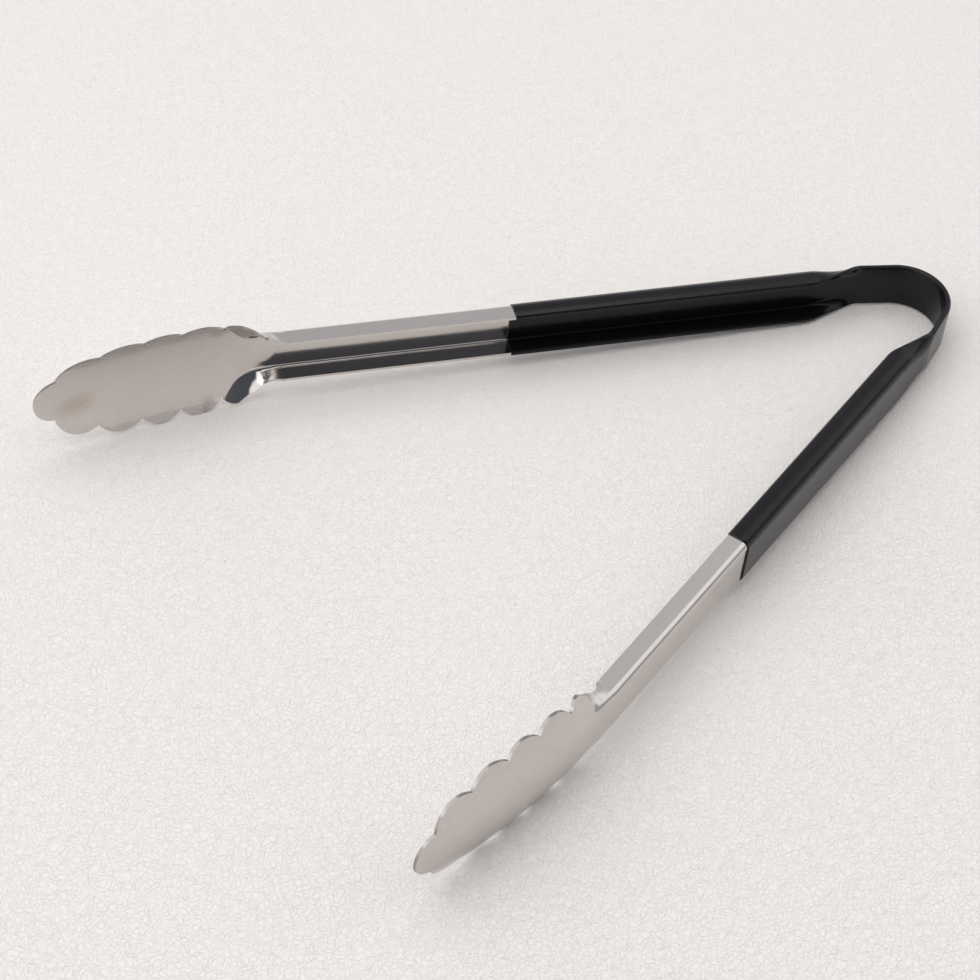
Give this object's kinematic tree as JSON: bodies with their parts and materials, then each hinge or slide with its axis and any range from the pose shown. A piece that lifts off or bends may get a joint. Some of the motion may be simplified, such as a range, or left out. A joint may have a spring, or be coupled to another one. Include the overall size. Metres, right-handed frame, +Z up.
{
  "type": "kitchen tongs",
  "caption": "Sprung one-piece steel kitchen tongs with U-channel arms, cupped scalloped jaws and a dipped black vinyl grip over the round spring bow.",
  "frame": {"origin": "centre of the open tongs' bounding box, at its bottom: the lower edge of the jaws", "axes": "+X from the jaw tips to the crown of the bow, +Y across the opening towards the left arm, +Z up through the width of the strip; the tongs lie on their side, free and open"},
  "size_m": [0.2862, 0.2102, 0.0372],
  "materials": {
    "steel": "satin stainless steel, faintly brushed along the arms",
    "vinyl": "smooth semi-gloss dipped vinyl"
  },
  "bodies": {
    "bow": {"spring_bow": "steel", "bow_grip": "vinyl"},
    "left_arm": {"arm_left": "steel", "grip_left": "vinyl"},
    "right_arm": {"arm_right": "steel", "grip_right": "vinyl"}
  },
  "joints": [
    {"name": "left_arm_flex", "type": "hinge", "parent": "bow", "child": "left_arm", "pos_m": [0.13527, 0.01064, 0.0186], "axis": [0, 0, 1], "range_deg": [0, 20.5], "stiffness_Nm_per_rad": 4, "deforming": ["spring_bow", "bow_grip"]},
    {"name": "right_arm_flex", "type": "hinge", "parent": "bow", "child": "right_arm", "pos_m": [0.13527, -0.01064, 0.0186], "axis": [0, 0, 1], "range_deg": [-20.5, 0], "stiffness_Nm_per_rad": 4, "deforming": ["spring_bow", "bow_grip"]}
  ],
  "couplings": [
    {"joint": "right_arm_flex", "follows": "left_arm_flex", "ratio": -1}
  ]
}
